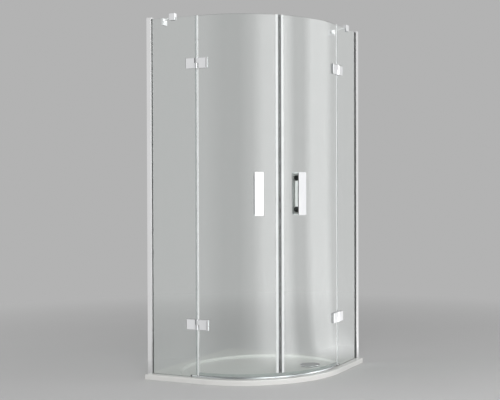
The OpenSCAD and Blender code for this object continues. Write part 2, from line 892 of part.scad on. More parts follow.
grub_r = 2.5;

module stabiliser_bar() {
  color("silver")
    on_bar() translate([0, 0, clamp_socket - bar_insert])
      cylinder(h = bar_run - clamp_socket + bar_insert - wall_socket + bar_insert, r = bar_r);
}

module stabiliser_wall_block() {
  y = -glass_line + glass_mid + clamp_x;
  block_drop = 2;
  anchor_drop = 12;
  color("silver")
    difference() {
      union() {
        translate([-half, y - wall_block_w / 2, bar_z - wall_block_w / 2 - block_drop])
          cube([wall_block_t, wall_block_w, wall_block_w]);
        intersection() {
          on_bar() translate([0, 0, bar_run - wall_socket]) cylinder(h = wall_socket + 20, r = socket_r);
          translate([-half, -far, 0]) cube([far, far * 2, far]);
        }
      }
      on_bar() translate([0, 0, bar_run - wall_socket - 1]) cylinder(h = bar_insert + 1, r = bar_r);
      on_bar() translate([0, 0, bar_run - wall_socket + bar_insert / 2]) rotate([-90, 0, 0])
        cylinder(h = socket_r + 1, r = grub_r);
      translate([-half - 1, y, bar_z - anchor_drop]) rotate([0, 90, 0])
        cylinder(h = wall_block_t - 2, r = anchor_r);
    }
}

// Grub screws that hold the glass and the bars
module stabiliser_screws() {
  color("gray")
    both_sides() {
      for (side = [-1, 1])
        from_wall(clamp_x + side * clamp_w / 4, glass_top - clamp_down / 2) translate([0, -glass_t - 0.1, 0])
          rotate([90, 0, 0]) cylinder(h = clamp_cheek, r = grub_r);
      for (z = [clamp_socket - bar_insert / 2, bar_run - wall_socket + bar_insert / 2])
        on_bar() translate([0, 0, z]) rotate([-90, 0, 0]) translate([0, 0, bar_r])
          cylinder(h = socket_r - bar_r, r = grub_r);
    }
}

shower_tray();
waste_flange();
waste_gasket();
waste_cover();
wall_profile();  // left_wall_profile
right_side() wall_profile();  // right_wall_profile
glass_profile();  // left_glass_profile
right_side() glass_profile();  // right_glass_profile
profile_caps();
glazing_gasket();  // left_glazing_gasket
right_side() glazing_gasket();  // right_glazing_gasket
adjusting_screws();
fixed_glass();  // left_fixed_glass
right_side() fixed_glass();  // right_fixed_glass
base_seals();
hinge_seal();  // left_hinge_seal
right_side() hinge_seal();  // right_hinge_seal
fixed_leaf(upper_hinge_z);  // left_upper_fixed_leaf
fixed_leaf(lower_hinge_z);  // left_lower_fixed_leaf
right_side() fixed_leaf(upper_hinge_z);  // right_upper_fixed_leaf
right_side() fixed_leaf(lower_hinge_z);  // right_lower_fixed_leaf
fixed_leaf_gaskets();
fixed_leaf_screws();
hinge_pins();
stabiliser_clamp();  // left_stabiliser_clamp
right_side() stabiliser_clamp();  // right_stabiliser_clamp
stabiliser_bar();  // left_stabiliser_bar
right_side() stabiliser_bar();  // right_stabiliser_bar
stabiliser_wall_block();  // left_stabiliser_wall_block
right_side() stabiliser_wall_block();  // right_stabiliser_wall_block
stabiliser_screws();
threshold_strip();
threshold_end_caps();
door_glass();  // left_door_glass
right_side() door_glass();  // right_door_glass
magnet_seal();  // left_magnet_seal
right_side() magnet_seal();  // right_magnet_seal
magnet_strip();  // left_magnet_strip
right_side() magnet_strip();  // right_magnet_strip
drip_seal();  // left_drip_seal
right_side() drip_seal();  // right_drip_seal
door_leaf(upper_hinge_z);  // left_upper_door_leaf
door_leaf(lower_hinge_z);  // left_lower_door_leaf
right_side() door_leaf(upper_hinge_z);  // right_upper_door_leaf
right_side() door_leaf(lower_hinge_z);  // right_lower_door_leaf
hinge_bushes();  // left_hinge_bushes
right_side() hinge_bushes();  // right_hinge_bushes
door_leaf_gaskets();  // left_door_leaf_gaskets
right_side() door_leaf_gaskets();  // right_door_leaf_gaskets
door_leaf_screws();  // left_door_leaf_screws
right_side() door_leaf_screws();  // right_door_leaf_screws
outer_handle();  // left_outer_handle
right_side() outer_handle();  // right_outer_handle
inner_handle();  // left_inner_handle
right_side() inner_handle();  // right_inner_handle
handle_gaskets();  // left_handle_gaskets
right_side() handle_gaskets();  // right_handle_gaskets
handle_bolts();  // left_handle_bolts
right_side() handle_bolts();  // right_handle_bolts
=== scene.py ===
import json
import math
from contextlib import contextmanager

import bpy
from mathutils import Euler, Matrix, Vector

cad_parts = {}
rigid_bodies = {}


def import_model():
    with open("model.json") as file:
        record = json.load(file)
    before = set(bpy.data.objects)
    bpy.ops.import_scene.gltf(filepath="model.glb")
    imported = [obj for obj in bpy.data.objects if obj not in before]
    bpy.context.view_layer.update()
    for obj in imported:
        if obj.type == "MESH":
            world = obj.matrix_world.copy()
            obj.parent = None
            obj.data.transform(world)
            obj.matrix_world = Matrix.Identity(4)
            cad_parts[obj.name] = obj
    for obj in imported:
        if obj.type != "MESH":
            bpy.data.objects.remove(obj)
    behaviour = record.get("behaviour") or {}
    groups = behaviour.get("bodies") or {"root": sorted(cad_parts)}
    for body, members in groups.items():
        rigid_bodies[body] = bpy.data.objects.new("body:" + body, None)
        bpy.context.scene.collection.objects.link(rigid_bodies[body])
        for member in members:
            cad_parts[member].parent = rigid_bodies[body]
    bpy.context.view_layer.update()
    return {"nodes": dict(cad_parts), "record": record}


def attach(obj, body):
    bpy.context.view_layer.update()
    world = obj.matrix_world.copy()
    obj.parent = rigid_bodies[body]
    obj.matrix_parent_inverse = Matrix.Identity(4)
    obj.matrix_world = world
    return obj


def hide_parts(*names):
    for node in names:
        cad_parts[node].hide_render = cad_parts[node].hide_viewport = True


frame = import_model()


# Room: camera, lamps, floor and backdrop

CAMERA_PLACE = (2.4892, -4.7678, 1.0302)
CAMERA_YAW = 22.7
CAMERA_PITCH = -0.7
CAMERA_ROLL = -0.1
CAMERA_LENS = 69.03
CAMERA_SHIFT = (-0.180, -0.0034)
PALE = 0.45
SOFT_LEVEL = 0.30
FLOOR_SIZE = 160.0
FLOOR_TONE = 0.56
# The level that metal and glass mirror at each azimuth in degrees, with 0 in front and 90 on the right. Two
# wide soft boxes stand on the right, and the levels under PALE are dark cloths
MIRRORED = [(-180, 0.35), (-168, 0.25), (-138, 0.30), (-124, 0.90), (-104, 0.90), (-92, 0.08),
            (-68, 0.08), (-48, 0.60), (-31, 0.80), (-18, 0.55), (-6, 0.32), (14, 0.32),
            (30, 1.0), (44, 2.4), (72, 2.8), (84, 1.1), (97, 1.1), (110, 2.6),
            (136, 2.0), (150, 1.0), (158, 0.85), (168, 0.20), (180, 0.35)]
WHITE = (1.0, 1.0, 1.0, 1.0)


class Value:
    """A shader socket. Python's operators join values with Math nodes."""

    def __init__(self, graph, socket):
        self.graph = graph
        self.socket = socket

    def math(self, operation, *others):
        sockets = dict(enumerate((self, *others)))
        return self.graph.node("ShaderNodeMath", {"operation": operation}, sockets)

    def __add__(self, other):
        return self.math("ADD", other)

    def __sub__(self, other):
        return self.math("SUBTRACT", other)

    def __mul__(self, other):
        return self.math("MULTIPLY", other)

    __radd__ = __add__


class Graph:
    """The node tree of one finish."""

    def __init__(self, owner):
        owner.use_nodes = True
        self.tree = owner.node_tree
        self.tree.nodes.clear()

    def node(self, kind, settings=None, sockets=None, output=0):
        made = self.tree.nodes.new(kind)
        for name, value in (settings or {}).items():
            if name == "stops":
                self.set_stops(made.color_ramp, value)
            else:
                setattr(made, name, value)
        for key, value in (sockets or {}).items():
            if isinstance(value, Value):
                self.tree.links.new(value.socket, made.inputs[key])
            else:
                made.inputs[key].default_value = value
        return Value(self, made.outputs[output]) if len(made.outputs) else made

    @staticmethod
    def set_stops(ramp, stops):
        while len(ramp.elements) < len(stops):
            ramp.elements.new(0.5)
        for element, (position, color) in zip(ramp.elements, stops):
            element.position = position
            element.color = (*color, 1.0)

    def place(self, scale):
        """Object coordinates in metres, stretched."""
        at = self.node("ShaderNodeTexCoord", output="Object")
        return self.node("ShaderNodeMapping", sockets={"Vector": at, "Scale": scale})

    def noise(self, scale, detail, roughness=0.5, stretch=(1.0, 1.0, 1.0)):
        at = self.place(stretch)
        sockets = {"Vector": at, "Scale": scale, "Detail": detail, "Roughness": roughness}
        return self.node("ShaderNodeTexNoise", sockets=sockets, output="Fac")

    def ramp(self, value, low, high, dark, light):
        """A colour between two, as a value goes from low to high."""
        return self.node("ShaderNodeValToRGB", {"stops": [(low, dark), (high, light)]}, {"Fac": value})

    def bump(self, height, distance, strength):
        sockets = {"Height": height, "Distance": distance, "Strength": strength}
        return self.node("ShaderNodeBump", sockets=sockets)

    def shade(self, **sockets):
        named = {key.replace("_", " "): value for key, value in sockets.items()}
        return self.node("ShaderNodeBsdfPrincipled", sockets=named)

    def finish(self, surface, kind="ShaderNodeOutputMaterial"):
        self.node(kind, sockets={"Surface": surface})


def finish_named(name):
    material = bpy.data.materials.new(name)
    return material, Graph(material)


# Finishes


def chrome_finish():
    """Polished chrome with faint wipe marks."""
    material, g = finish_named("polished_chrome")
    wipe = g.noise(14.0, 4.0, 0.6, (1.0, 1.0, 0.5))
    fine = g.noise(900.0, 1.0)
    color = g.ramp(wipe, 0.3, 0.7, (0.80, 0.81, 0.825), (0.87, 0.875, 0.885))
    roughness = 0.035 + wipe * 0.05
    g.finish(g.shade(Base_Color=color, Metallic=1.0, Roughness=roughness,
                     Normal=g.bump(fine, 0.00001, 0.3)))
    return material


def drawn_aluminium_finish(name, level, shine):
    """Anodised profile with lines drawn along its length."""
    material, g = finish_named(name)
    lines = g.noise(1100.0, 1.0, 0.5, (1.0, 1.0, 0.002))
    cloud = g.noise(6.0, 3.0)
    color = g.ramp(cloud, 0.3, 0.7, (level * 0.97,) * 3, (level, level, level * 1.01))
    roughness = shine + lines * 0.06 + cloud * 0.03
    g.finish(g.shade(Base_Color=color, Metallic=1.0, Roughness=roughness,
                     Normal=g.bump(lines, 0.00001, 0.15)))
    return material


def steel_finish():
    """Turned stainless steel."""
    material, g = finish_named("turned_steel")
    rings = g.noise(2200.0, 2.0, 0.5)
    color = g.ramp(rings, 0.3, 0.7, (0.60, 0.60, 0.61), (0.70, 0.70, 0.71))
    roughness = 0.22 + rings * 0.12
    g.finish(g.shade(Base_Color=color, Metallic=1.0, Roughness=roughness,
                     Normal=g.bump(rings, 0.00002, 0.4)))
    return material


def tray_finish():
    """Cast stone with a silky gel coat."""
    material, g = finish_named("cast_stone")
    cloud = g.noise(3.5, 4.0, 0.55)
    grain = g.noise(420.0, 2.0, 0.6)
    color = g.ramp(cloud, 0.25, 0.75, (0.775, 0.775, 0.755), (0.835, 0.83, 0.81))
    roughness = 0.24 + grain * 0.10 + cloud * 0.06
    g.finish(g.shade(Base_Color=color, Roughness=roughness, Coat_Weight=0.6, Coat_Roughness=0.07,
                     Normal=g.bump(grain, 0.00006, 0.35)))
    return material


def rubber_finish(name, level):
    """Moulded rubber with a fine grain."""
    material, g = finish_named(name)
    cloud = g.noise(40.0, 3.0)
    grain = g.noise(1500.0, 2.0)
    color = g.ramp(cloud, 0.3, 0.7, (level * 0.85,) * 3, (level * 1.1,) * 3)
    roughness = 0.5 + grain * 0.2
    g.finish(g.shade(Base_Color=color, Roughness=roughness, Normal=g.bump(grain, 0.00004, 0.4)))
    return material


def seal_finish(name, dark, light, clear, gloss):
    """Flexible seal with lines from its die, from clear to milky."""
    material, g = finish_named(name)
    streak = g.noise(500.0, 2.0, 0.5, (1.0, 1.0, 0.01))
    cloud = g.noise(8.0, 3.0)
    color = g.ramp(cloud, 0.3, 0.7, (dark * 0.97, dark, dark), (light * 0.97, light, light))
    roughness = gloss + streak * gloss
    g.finish(g.shade(Base_Color=color, Roughness=roughness, Transmission_Weight=clear, IOR=1.42,
                     Normal=g.bump(streak, 0.00002, 0.2)))
    return material


def nylon_finish():
    """Off-white nylon of the hinge bushes."""
    material, g = finish_named("nylon")
    grain = g.noise(800.0, 2.0)
    color = g.ramp(grain, 0.3, 0.7, (0.70, 0.69, 0.64), (0.78, 0.77, 0.72))
    roughness = 0.38 + grain * 0.1
    g.finish(g.shade(Base_Color=color, Roughness=roughness, Normal=g.bump(grain, 0.00003, 0.4)))
    return material


def glass_finish():
    """Clear toughened glass with a green cast and faint water marks. The lamps shine through it."""
    material, g = finish_named("clear_glass")
    marks = g.noise(26.0, 5.0, 0.65, (1.0, 1.0, 0.45))
    color = g.ramp(marks, 0.30, 0.75, (0.935, 0.965, 0.952), (0.955, 0.978, 0.968))
    body = g.shade(Base_Color=color, Roughness=0.0, IOR=1.6, Transmission_Weight=1.0)
    through = g.node("ShaderNodeBsdfTransparent", sockets={"Color": (0.90, 0.94, 0.92, 1.0)})
    shadow = g.node("ShaderNodeLightPath", output="Is Shadow Ray")
    g.finish(g.node("ShaderNodeMixShader", sockets={0: shadow, 1: body, 2: through}))
    return material


FINISHES = {
    "tray": tray_finish(),
    "clear_glass": glass_finish(),
    "bright_aluminium": drawn_aluminium_finish("bright_aluminium", 0.86, 0.03),
    "satin_aluminium": drawn_aluminium_finish("satin_aluminium", 0.70, 0.16),
    "chrome": chrome_finish(),
    "steel_screws": steel_finish(),
    "clear_seal": seal_finish("clear_seal", 0.88, 0.94, 0.97, 0.03),
    "milky_seal": seal_finish("milky_seal", 0.80, 0.88, 0.0, 0.12),
    "pale_rubber": rubber_finish("pale_rubber", 0.42),
    "grey_rubber": rubber_finish("grey_rubber", 0.15),
    "black_rubber": rubber_finish("black_rubber", 0.02),
    "nylon": nylon_finish(),
}

SLOTS = {part["node"]: part["material_slot"] for part in frame["record"]["subparts"]}


def dress(piece, finish):
    piece.data.materials.clear()
    piece.data.materials.append(finish)


for node_name, node in frame["nodes"].items():
    finish = FINISHES[SLOTS[node_name]]
    for material_slot in node.material_slots:
        material_slot.material = finish

# Lengths in millimetres, from the middle of the footprint on the floor

MM = 0.001
HALF = 450.0
TRAY_H = 28.0
TRAY_FRONT_R = 550.0
GLASS_LINE = 415.0
GLASS_R = 515.0
GLASS_T = 6.0
GLASS_TOP = 1928.0
GLASS_EDGE = 0.8
FIXED_BOTTOM = TRAY_H + 2
DOOR_BOTTOM = TRAY_H + 10
DIAGONAL = 45.0
MEETING_GAP = 10.0
JOINT_X = -142.0
JOINT_HALF = 5.0
CURVE_CENTRE = Vector((-100.0, 100.0, 0.0))
CURVE_STEPS = 72
HINGE_LEVELS = {"lower": 306.0, "upper": 1678.0}
LEAF_H = 55.0
SCREW_RUN = 36.0
SCREW_SPAN = 15.0
GLASS_HOLE_R = 5.0
HANDLE_Z = 993.0
HANDLE_RUN = 113.0
HANDLE_TURN = DIAGONAL - math.degrees(HANDLE_RUN / GLASS_R)
BOSS_SPAN = 168.0
SEAL_GAP = 0.15
# The right half is the left half mirrored about the diagonal between the doors
OTHER_SIDE = Matrix(((0, -1, 0, 0), (-1, 0, 0, 0), (0, 0, 1, 0), (0, 0, 0, 1)))

# The maker's handwork

# Points nearer to each other than this, in metres, become one
WELD = 0.00001
# Edges steeper than this, in degrees, are eased
EASE_ANGLE = 35.0


def leave_edit_mode():
    if bpy.context.mode != "OBJECT":
        bpy.ops.object.mode_set(mode="OBJECT")


def take_only(*pieces):
    """Selects these pieces and nothing else. The first one becomes the active one."""
    leave_edit_mode()
    bpy.ops.object.select_all(action="DESELECT")
    for piece in pieces:
        piece.select_set(True)
    if pieces:
        bpy.context.view_layer.objects.active = pieces[0]


def settle():
    """Puts the active piece's place into its mesh."""
    bpy.ops.object.transform_apply(location=True, rotation=True, scale=True)
    return bpy.context.active_object


def start_box(low, high):
    """Box between two corners."""
    low, high = Vector(low) * MM, Vector(high) * MM
    take_only()
    bpy.ops.mesh.primitive_cube_add(size=1.0, location=(low + high) / 2, scale=high - low)
    return settle()


def start_rod(radius, start, end, sides=48):
    """Round rod between two points."""
    start, end = Vector(start) * MM, Vector(end) * MM
    along = end - start
    take_only()
    bpy.ops.mesh.primitive_cylinder_add(vertices=sides, radius=radius * MM, depth=along.length,
                                        location=(start + end) / 2,
                                        rotation=along.to_track_quat("Z", "Y").to_euler())
    return settle()


def start_cone(radius_low, radius_high, centre, z0, z1, sides=96):
    """Upright cone or disc between two heights."""
    take_only()
    place = (centre[0] * MM, centre[1] * MM, (z0 + z1) / 2 * MM)
    bpy.ops.mesh.primitive_cone_add(vertices=sides, radius1=radius_low * MM, radius2=radius_high * MM,
                                    depth=(z1 - z0) * MM, location=place)
    return settle()


def start_section(points):
    """A flat face whose corners are these points."""
    take_only()
    bpy.ops.mesh.primitive_circle_add(vertices=len(points), radius=MM, fill_type="NGON")
    piece = bpy.context.active_object
    for vertex, point in zip(piece.data.vertices, points):
        vertex.co = Vector(point) * MM
    piece.data.update()
    return piece


@contextmanager
def editing(piece, kind, test):
    """Edit mode with those faces or edges selected that a test picks. The test gets a face's normal and
    centre, or an edge's two ends, in millimetres."""
    take_only(piece)
    bpy.ops.object.mode_set(mode="EDIT")
    bpy.ops.mesh.select_mode(type=kind)
    bpy.ops.mesh.select_all(action="DESELECT")
    leave_edit_mode()
    mesh = piece.data
    if kind == "FACE":
        facts = [(face, (face.normal, face.center / MM)) for face in mesh.polygons]
    else:
        points = [vertex.co / MM for vertex in mesh.vertices]
        facts = [(edge, [points[index] for index in edge.vertices]) for edge in mesh.edges]
    for part, places in facts:
        part.select = bool(test(*places))
    bpy.ops.object.mode_set(mode="EDIT")
    yield
    leave_edit_mode()


def everything(*_):
    return True


def pull(offset):
    """Extrudes what is selected."""
    bpy.ops.mesh.extrude_region_move(TRANSFORM_OT_translate={"value": Vector(offset) * MM})


def round_off(width, segments):
    """Bevels the selected edges."""
    bpy.ops.mesh.bevel(offset=width * MM, offset_type="OFFSET", segments=segments, affect="EDGES")


def face_outwards(piece):
    with editing(piece, "FACE", everything):
        bpy.ops.mesh.remove_doubles(threshold=WELD)
        bpy.ops.mesh.normals_make_consistent(inside=False)


def upright(points, z0, z1):
    """A section in plan, drawn upwards."""
    piece = start_section([(x, y, z0) for x, y in points])
    with editing(piece, "FACE", everything):
        pull((0, 0, z1 - z0))
    face_outwards(piece)
    return piece


def along_front(section, start_x, turn, end_run=0.0, steps=CURVE_STEPS):
    """A section in (outwards, up) from the outer glass line that runs along the front: straight from
    start_x to where the glass bends, round the curve by a turn in degrees, and straight on by end_run."""
    piece = start_section([(start_x, -GLASS_LINE - out, up) for out, up in section])
    with editing(piece, "FACE", everything):
        bpy.ops.mesh.delete(type="ONLY_FACE")
    with editing(piece, "EDGE", everything):
        pull((CURVE_CENTRE.x - start_x, 0, 0))
        bpy.ops.mesh.spin(steps=steps, angle=-math.radians(turn), center=CURVE_CENTRE * MM, axis=(0, 0, 1))
        if end_run:
            pull((0, end_run, 0))
        bpy.ops.mesh.select_all(action="SELECT")
        bpy.ops.mesh.fill_holes(sides=0)
    face_outwards(piece)
    return piece


def apply_modifier(piece, kind, **settings):
    take_only(piece)
    made = piece.modifiers.new(kind.lower(), kind)
    for name, value in settings.items():
        setattr(made, name, value)
    bpy.ops.object.modifier_apply(modifier=made.name)


def cut(piece, *cutters, operation="DIFFERENCE"):
    """Cuts a piece with others and clears them away."""
    for cutter in cutters:
        apply_modifier(piece, "BOOLEAN", operation=operation, solver="EXACT", object=cutter)
        bpy.data.objects.remove(cutter)
    return piece


def ease(piece, width):
    """Takes the sharpness off every steep edge."""
    apply_modifier(piece, "BEVEL", width=width * MM, segments=2, limit_method="ANGLE",
                   angle_limit=math.radians(EASE_ANGLE))
    return piece


def smooth(piece, angle):
    take_only(piece)
    bpy.ops.object.shade_smooth_by_angle(angle=math.radians(angle))
    apply_modifier(piece, "WEIGHTED_NORMAL", keep_sharp=True)


def joined(*pieces):
    """Makes one piece of several, which keeps the first one's name."""
    take_only(*pieces)
    bpy.ops.object.join()
    return pieces[0]


def moved(piece, offset, turn=0.0):
    """Turns a piece about the vertical through the origin, then moves it."""
    piece.rotation_euler = (0, 0, math.radians(turn))
    piece.location = Vector(offset) * MM
    take_only(piece)
    return settle()


def copied(piece):
    """A copy with a mesh of its own."""
    twin = piece.copy()
    twin.data = piece.data.copy()
    bpy.context.scene.collection.objects.link(twin)
    return twin


def mirrored(piece):
    """A copy on the enclosure's other side."""
    twin = copied(piece)
    twin.data.transform(OTHER_SIDE)
    twin.data.flip_normals()
    return twin


def merged_copy(node_name):
    """A copy of a CAD node with its loose triangles joined into faces."""
    piece = frame["nodes"][node_name].copy()
    piece.data = piece.data.copy()
    piece.parent = None
    bpy.context.scene.collection.objects.link(piece)
    for key in list(piece.keys()):
        del piece[key]
    with editing(piece, "FACE", everything):
        bpy.ops.mesh.remove_doubles(threshold=WELD / 2)
        bpy.ops.mesh.dissolve_limited(angle_limit=math.radians(0.5))
    return piece


def hand_over(piece, name, body, nodes, angle=50.0, finish=None):
    """Names a finished piece, gives it its finish, and puts it in the place of CAD nodes."""
    smooth(piece, angle)
    piece.name = piece.data.name = name
    slot_name = SLOTS[nodes[0]]
    dress(piece, FINISHES[finish or slot_name])
    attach(piece, body)
    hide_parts(*nodes)
    return piece


def hand_over_pair(piece, name, bodies, nodes, angle=50.0, finish=None):
    """Hands over a left piece and its mirror image. The word side in names becomes left or right."""
    for side, body, one in (("right", bodies[1], mirrored(piece)), ("left", bodies[0], piece)):
        side_nodes = [node.replace("side", side) for node in nodes]
        hand_over(one, name.replace("side", side), body, side_nodes, angle, finish)


FIXED = ("root", "root")
DOORS = ("left_door", "right_door")

# Glass


def screw_hole_cutters(x):
    """Rods through the straight glass for the screws of the hinge leaves at x."""
    outside, inside = -GLASS_LINE - 4, -GLASS_LINE + GLASS_T + 4
    return [start_rod(GLASS_HOLE_R, (x, outside, level + span), (x, inside, level + span))
            for level in HINGE_LEVELS.values() for span in (-SCREW_SPAN, SCREW_SPAN)]


def make_fixed_pane():
    """Flat toughened pane with ground edges and four screw holes."""
    pane = start_box((-HALF + 10, -GLASS_LINE, FIXED_BOTTOM),
                     (JOINT_X - JOINT_HALF, -GLASS_LINE + GLASS_T, GLASS_TOP))
    with editing(pane, "EDGE", everything):
        round_off(GLASS_EDGE, 2)
    cut(pane, *screw_hole_cutters(JOINT_X - SCREW_RUN))
    hand_over_pair(pane, "fixed_pane_side", FIXED, ["side_fixed_glass"], 30.0)


def make_door_pane():
    """Curved toughened pane with ground edges, four screw holes and two bolt holes."""
    low, high, edge = DOOR_BOTTOM + GLASS_EDGE, GLASS_TOP - GLASS_EDGE, GLASS_EDGE
    section = [(-edge, DOOR_BOTTOM), (0, low), (0, high), (-edge, GLASS_TOP), (-GLASS_T + edge, GLASS_TOP),
               (-GLASS_T, high), (-GLASS_T, low), (-GLASS_T + edge, DOOR_BOTTOM)]
    pane = along_front(section, JOINT_X + JOINT_HALF, DIAGONAL - math.degrees(MEETING_GAP / GLASS_R))
    cut(pane, *screw_hole_cutters(JOINT_X + SCREW_RUN))
    for side in (-1, 1):
        z = HANDLE_Z + side * BOSS_SPAN / 2
        bolt = start_rod(6.0, (0, -GLASS_R - 4, z), (0, -GLASS_R + GLASS_T + 4, z))
        cut(pane, moved(bolt, CURVE_CENTRE, HANDLE_TURN))
    hand_over_pair(pane, "door_pane_side", DOORS, ["side_door_glass"], 30.0)


# Handles

PLATE_HALF_W = 23.0
PLATE_HALF_H = 113.0
PLATE_BACK = 26.0
PLATE_T = 7.0
PLATE_BORDER = 5.0
PAD_PLAY = 0.4
BOSS_R = 14.0


def start_rounded(low, high, corner, segments=4):
    """Box whose four corners are rounded as seen from the front."""
    box = start_box(low, high)
    depth = high[1] - low[1]
    with editing(box, "EDGE", lambda a, b: abs(a.y - b.y) > depth / 2):
        round_off(corner, segments)
    return box


def make_boss(z):
    """Round boss from the glass to the plate, a little wider where it meets the plate."""
    boss = start_rod(BOSS_R, (0, -PLATE_BACK - 1.1, z), (0, -0.8, z), 64)
    with editing(boss, "FACE", lambda normal, centre: normal.y > 0.9):
        bpy.ops.mesh.region_to_loop()
        round_off(0.8, 2)
    with editing(boss, "FACE", lambda normal, centre: normal.y < -0.9):
        pull((0, -0.2, 0))
        end = Vector((0, -PLATE_BACK - 1.3, z)) * MM
        bpy.ops.transform.resize(value=(1.08, 1.0, 1.08), center_override=end)
    return boss


def make_handles():
    """Flat polished plate on two bosses finished black as a painted dark reflection. Its back has a border,
    a sunk pale pad and a raised bar.
    """
    front, back = -PLATE_BACK - PLATE_T, -PLATE_BACK
    plate = start_rounded((-PLATE_HALF_W, front, -PLATE_HALF_H), (PLATE_HALF_W, back, PLATE_HALF_H), 3.0)
    with editing(plate, "FACE", lambda normal, centre: abs(normal.y) > 0.9):
        bpy.ops.mesh.region_to_loop()
        round_off(1.0, 3)
    half_w, half_h = PLATE_HALF_W - PLATE_BORDER, PLATE_HALF_H - PLATE_BORDER
    cut(plate, start_rounded((-half_w, back - 1, -half_h), (half_w, back + 1, half_h), 2.5))
    half_w, half_h = half_w - PAD_PLAY, half_h - PAD_PLAY
    pad = start_rounded((-half_w, back - 1.2, -half_h), (half_w, back - 0.6, half_h), 2.2)
    bar = start_rounded((-9, back - 0.8, -70), (9, back + 2.5, 70), 6.0, 6)
    with editing(bar, "FACE", lambda normal, centre: normal.y > 0.9):
        bpy.ops.mesh.region_to_loop()
        round_off(1.6, 4)
    bosses = joined(*[make_boss(side * BOSS_SPAN / 2) for side in (-1, 1)])
    # The bosses wear black rubber as a painted reflection of a dark room, which chrome bosses would mirror
    parts = (("plate", plate, "chrome"), ("bosses", bosses, "black_rubber"), ("pad", pad, "pale_rubber"),
             ("bar", bar, "bright_aluminium"))
    for what, outer, finish in parts:
        inner = moved(copied(outer), (0, GLASS_T, 0), 180.0)
        for which, one in (("outer", outer), ("inner", inner)):
            one = moved(one, (0, -GLASS_R, HANDLE_Z))
            one = moved(one, CURVE_CENTRE, HANDLE_TURN)
            nodes = [f"side_{which}_handle"]
            hand_over_pair(one, f"{which}_handle_{what}_side", DOORS, nodes, finish=finish)


# Hinges

PIVOT_OUT = 6.0
KNUCKLE_R = 7.0
KNUCKLE_GAP = 0.5
PIN_R = 3.0
BUSH_R = 4.0
LEAF_BACK = 0.6
LEAF_FRONT = 12.6
LEAF_BEVEL = 2.6
LEAF_BEVEL_DEPTH = 1.0
LEAF_EASE = 0.35
# Below the angle of the leaf's bevel, so that its edges stay crisp
LEAF_SMOOTH = 18.0


def leaf_plate(x0, x1):
    """Leaf between two x values, as high as the hinge, with a flat bevel round its front face."""
    plate = start_box((x0, -LEAF_FRONT + LEAF_BEVEL_DEPTH, -LEAF_H / 2), (x1, -LEAF_BACK, LEAF_H / 2))
    with editing(plate, "FACE", lambda normal, centre: normal.y < -0.9):
        bpy.ops.mesh.inset(thickness=LEAF_BEVEL * MM, depth=LEAF_BEVEL_DEPTH * MM)
    return plate


def leaf_screw_cutters(x):
    """Blind holes from a leaf's back."""
    return [start_rod(3.0, (x, -8.6, z), (x, 1, z)) for z in (-SCREW_SPAN, SCREW_SPAN)]


def on_pivot(radius, z0, z1, sides=48):
    """Rod on the hinge's axis."""
    return start_rod(radius, (0, -PIVOT_OUT, z0), (0, -PIVOT_OUT, z1), sides)


def knuckle(z0, z1):
    """Barrel on the hinge's axis with eased rims."""
    barrel = on_pivot(KNUCKLE_R, z0, z1, 64)
    with editing(barrel, "FACE", lambda normal, centre: abs(normal.z) > 0.9):
        bpy.ops.mesh.region_to_loop()
        round_off(0.5, 2)
    return barrel


def fixed_leaf():
    """Leaf on the fixed pane, with the lower knuckle that holds the pin."""
    half = LEAF_H / 2
    plate = leaf_plate(-64, -8)
    web = start_box((-10.6, -10.0, -half), (0, -LEAF_BACK, -KNUCKLE_GAP))
    for piece in (plate, web):
        ease(piece, LEAF_EASE)
    cut(plate, *leaf_screw_cutters(-SCREW_RUN))
    barrel = cut(knuckle(-half, -KNUCKLE_GAP), on_pivot(PIN_R, -30, 1))
    return joined(plate, web, barrel)


def door_leaf():
    """Leaf on the door, with the upper knuckle that holds the bush, and a black strip in its groove as
    painted shade.
    """
    half = LEAF_H / 2
    plate = leaf_plate(13, 68)
    groove = start_box((57.5, -LEAF_FRONT - 1, -half + 4), (59.1, -LEAF_FRONT + 1.2, half - 4))
    # Black strip sunk into the groove: painted shade of the narrow groove
    groove_shade = start_box((57.6, -LEAF_FRONT + 0.3, -half + 4.1), (59.0, -LEAF_FRONT + 1.3, half - 4.1))
    web = start_box((0, -LEAF_FRONT + 0.05, KNUCKLE_GAP),
                    (13.4 + LEAF_BEVEL, -LEAF_BACK, half - LEAF_BEVEL))
    for piece in (plate, web):
        ease(piece, LEAF_EASE)
    cut(plate, groove, *leaf_screw_cutters(SCREW_RUN))
    barrel = cut(knuckle(KNUCKLE_GAP, half), on_pivot(BUSH_R, -1, half - 1.5))
    cut(web, on_pivot(BUSH_R, -1, half - 1.5))
    return joined(plate, web, barrel), groove_shade


def make_hinges():
    """Pivot hinges on the outside of the glass, two at each joint."""
    for level, z in HINGE_LEVELS.items():
        place = (JOINT_X, -GLASS_LINE, z)
        fixed = moved(fixed_leaf(), place)
        hand_over_pair(fixed, f"fixed_leaf_{level}_side", FIXED, [f"side_{level}_fixed_leaf"], LEAF_SMOOTH)
        door, groove_shade = door_leaf()
        nodes = [f"side_{level}_door_leaf"]
        hand_over_pair(moved(door, place), f"door_leaf_{level}_side", DOORS, nodes, LEAF_SMOOTH)
        # The black strip in each door leaf's groove is painted shade
        hand_over_pair(moved(groove_shade, place), f"leaf_inlay_{level}_side", DOORS, nodes, finish="black_rubber")


# Seals and threshold

# Their outlines run along the glass and outwards from its outer face. This is just past its inner face
FAR = -GLASS_T - SEAL_GAP


def at_meeting(along, out):
    """Point at a distance along the glass from the meeting line, and outwards from the outer glass face."""
    angle = math.radians(DIAGONAL) - along / GLASS_R
    radius = GLASS_R + out
    return CURVE_CENTRE.x + radius * math.sin(angle), CURVE_CENTRE.y - radius * math.cos(angle)


